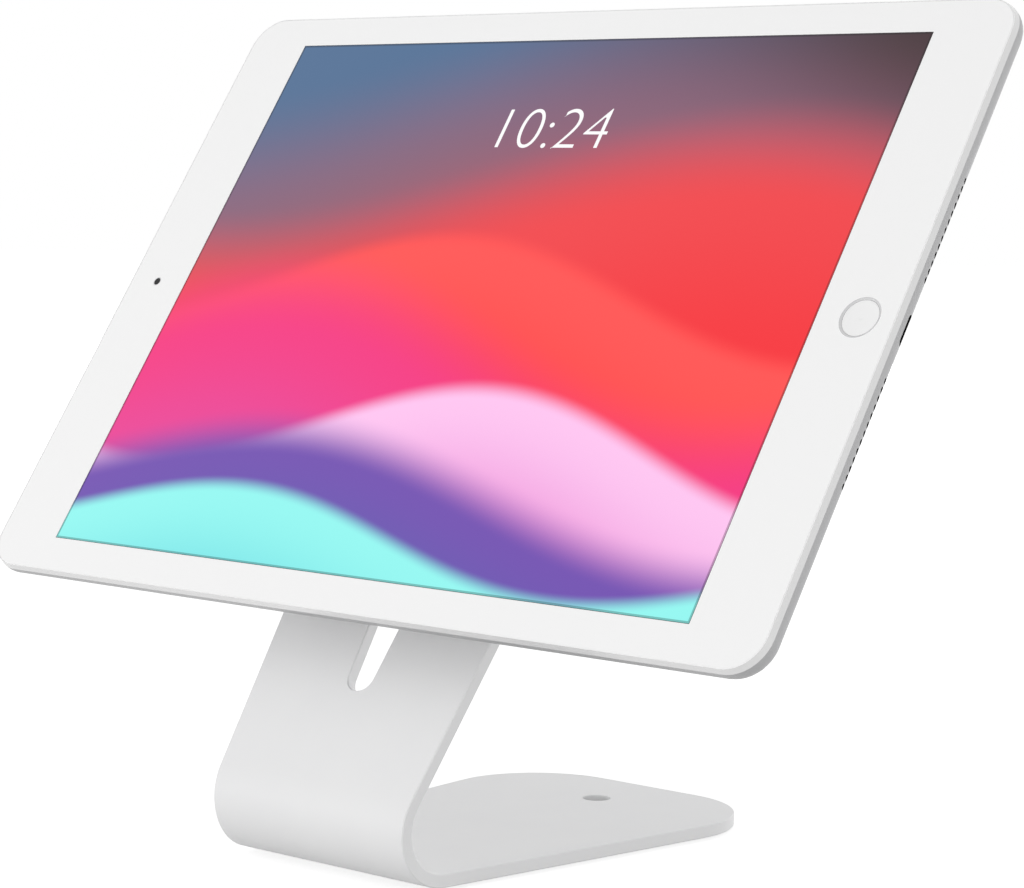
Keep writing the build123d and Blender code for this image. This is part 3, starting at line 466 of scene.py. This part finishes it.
def printed_cover_glass():
    """Aluminosilicate cover glass: white print, dark hairline and lit picture, all under one polish."""
    glow = {"Emission Strength": 1.0}
    material, tree, coat = surface("printed_cover_glass", PRINT_WHITE, **GLASS_POLISH, **glow)
    x, y, _ = tablet_point(tree)
    rim = inside_circle(tree, x, y, camera_spot, CAMERA_RIM)
    lens = inside_circle(tree, x, y, camera_spot, CAMERA_DOT)
    framed = inside_screen(tree, x, y, DARK_LINE)
    dark = add(tree, "Math", {0: framed, 1: lens}, operation="MAXIMUM").outputs[0]
    border = add(tree, "Mix", {0: rim, 6: PRINT_WHITE, 7: CAMERA_RIM_TONE}, data_type="RGBA").outputs[2]
    printed = add(tree, "Mix", {0: dark, 6: border, 7: PRINT_BLACK}, data_type="RGBA").outputs[2]
    tree.links.new(printed, coat.inputs["Base Color"])
    lit = inside_screen(tree, x, y, 0.0)
    unshaded = inside_screen(tree, x, y, -EDGE_SHADE)
    shade = add(tree, "MapRange", {0: unshaded, 3: EDGE_GLOW, 4: 1.0}).outputs[0]
    level = add(tree, "Math", {0: lit, 1: shade}, operation="MULTIPLY").outputs[0]
    waves = lit_picture(tree, x, y)
    picture = add(tree, "Mix", {0: level, 6: BLACK, 7: waves}, data_type="RGBA").outputs[2]
    tree.links.new(picture, coat.inputs["Emission Color"])
    return material


# %% [markdown]
# ## Moulded and turned parts
# The hub behind the tablet is plain hardware: turned aluminium discs, stainless screws, a moulded cap and
# an acetal washer. Each gets a finish from how it was made, so that the back of the stand reads as real.

# %% Turned metal, plastics and polished parts
LATHE_GRAIN = 0.2 * MM
LATHE_DEPTH = 0.01 * MM
LATHE_STRENGTH = 0.2
PLASTIC_IOR = 1.46
PEBBLE = 0.5 * MM
FOAM_CELL = 0.8 * MM
PEBBLE_DEPTH = 0.03 * MM
PEBBLE_STRENGTH = 0.25
RIPPLE = 4 * MM
RIPPLE_DEPTH = 0.002 * MM
RIPPLE_STRENGTH = 0.1


def turned_steel(name, colour, roughness):
    """Stainless steel off the lathe: bright, with a fine uneven sheen."""
    material, tree, metal = surface(name, colour, Metallic=1.0, Roughness=roughness)
    roughen(tree, metal, LATHE_GRAIN, LATHE_DEPTH, LATHE_STRENGTH)
    return material


def moulded_plastic(name, colour, roughness, pebble=PEBBLE):
    """Moulded plastic with the faint pebble of a sparked mould."""
    material, tree, plastic = surface(name, colour, Roughness=roughness, IOR=PLASTIC_IOR)
    roughen(tree, plastic, pebble, PEBBLE_DEPTH, PEBBLE_STRENGTH)
    return material


def polished(name, colour, roughness):
    """A smooth glossy part, such as lens glass or a polished button."""
    material, tree, gloss = surface(name, colour, Roughness=roughness, IOR=GLASS_IOR)
    roughen(tree, gloss, RIPPLE, RIPPLE_DEPTH, RIPPLE_STRENGTH)
    return material


print("mould pebble", round(PEBBLE / MM, 1), "mm, foam cells", round(FOAM_CELL / MM, 1), "mm")

# %% Every finish, laid on its pieces
FINISHES = {
    "anodised_plate": anodised_aluminium("blasted_aluminium_plate", "#E7E7E8", "#EBEBEB", 0.45, 0.15),
    "tablet_shell": shell_aluminium(),
    "hub_metal": anodised_aluminium("turned_aluminium_hub", "#C6C6C8", "#CCCCCE", 0.36, 0.9),
    "button_ring": anodised_aluminium("diamond_cut_ring", "#CDCDCE", "#D2D2D3", 0.25, 0.5),
    "fastener_steel": turned_steel("stainless_steel", "#B9B9BA", 0.30),
    "sheet_steel": turned_steel("pressed_steel", "#B0B0B2", 0.35),
    "cell_foil": turned_steel("pouch_foil", "#8A8A8C", 0.45),
    "cover_glass": printed_cover_glass(),
    "button_glass": polished("polished_white_button", "#F1F1F1", 0.08),
    "display_layers": polished("display_glass", "#151517", 0.05),
    "lens_glass": polished("coated_lens_glass", "#0A0A10", 0.03),
    "diffuser_plastic": polished("diffuser_film", "#EDEDED", 0.20),
    "gasket_plastic": moulded_plastic("gasket_frame", "#F0F0F0", 0.50),
    "washer_plastic": moulded_plastic("natural_acetal", "#E4E1D6", 0.40),
    "cap_plastic": moulded_plastic("moulded_cap", "#C4C4C6", 0.45),
    "switch_plastic": moulded_plastic("black_moulding", "#1A1A1B", 0.50),
    "foot_rubber": moulded_plastic("silicone_foot", "#5A5A5C", 0.75),
    "foam_tape": moulded_plastic("foam_tape", "#262627", 0.90, FOAM_CELL),
    "board_laminate": moulded_plastic("solder_resist", "#123524", 0.35),
    "flex_film": moulded_plastic("polyimide_film", "#A8702A", 0.30),
}
for part in frame["record"]["subparts"]:
    mesh = nodes[part["node"]].data
    mesh.materials.clear()
    mesh.materials.append(FINISHES[part["material_slot"]])
print("finishes", len(FINISHES))

# %% [markdown]
# ## The clock on the screen
# The lit screen shows the time in plain digits. They are a text object in Blender's own font, made thinner,
# given the thickness of a film and turned into a mesh before it is laid on the glass, because a text's
# place can't be moved into its outline.

# %% Clock digits
CLOCK_TIME = "10:24"
CLOCK_SIZE = 18.0 * MM
CLOCK_THINNING = -0.35 * MM
CLOCK_FILM = 0.02 * MM
CLOCK_LIFT = 0.03 * MM
CLOCK_UP = 49.5 * MM
CLOCK_GLOW = 0.95
FILM_ROUGHNESS = 0.3
FILM_GRAIN = 0.5 * MM
FILM_DEPTH = 0.001 * MM
FILM_STRENGTH = 0.1


def screen_digits():
    """The time as a thin mesh just in front of the glass."""
    text = bpy.data.curves.new("clock_text", "FONT")
    text.body = CLOCK_TIME
    text.size = CLOCK_SIZE
    text.offset = CLOCK_THINNING
    text.extrude = CLOCK_FILM
    text.align_x = "CENTER"
    text.align_y = "CENTER"
    holder = bpy.data.objects.new("clock_text", text)
    bpy.context.scene.collection.objects.link(holder)
    graph = bpy.context.evaluated_depsgraph_get()
    mesh = bpy.data.meshes.new_from_object(holder.evaluated_get(graph))
    bpy.data.objects.remove(holder)
    mesh.transform(tablet_frame @ Matrix.Translation((0, CLOCK_UP, CLOCK_LIFT)))
    mesh.materials.clear()
    digits = bpy.data.objects.new("clock_digits", mesh)
    bpy.context.scene.collection.objects.link(digits)
    return digits


def lit_digits():
    """White light from the display: a black surface that glows."""
    film = {"Roughness": FILM_ROUGHNESS, "IOR": GLASS_IOR}
    glow = {"Emission Color": WHITE, "Emission Strength": CLOCK_GLOW}
    material, tree, light = surface("lit_digits", BLACK, **film, **glow)
    roughen(tree, light, FILM_GRAIN, FILM_DEPTH, FILM_STRENGTH)
    return material


clock = screen_digits()
clock.data.materials.append(lit_digits())
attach(clock, "tablet")
print("digits", [round(v / MM, 1) for v in clock.dimensions], "mm", len(clock.data.polygons), "faces")
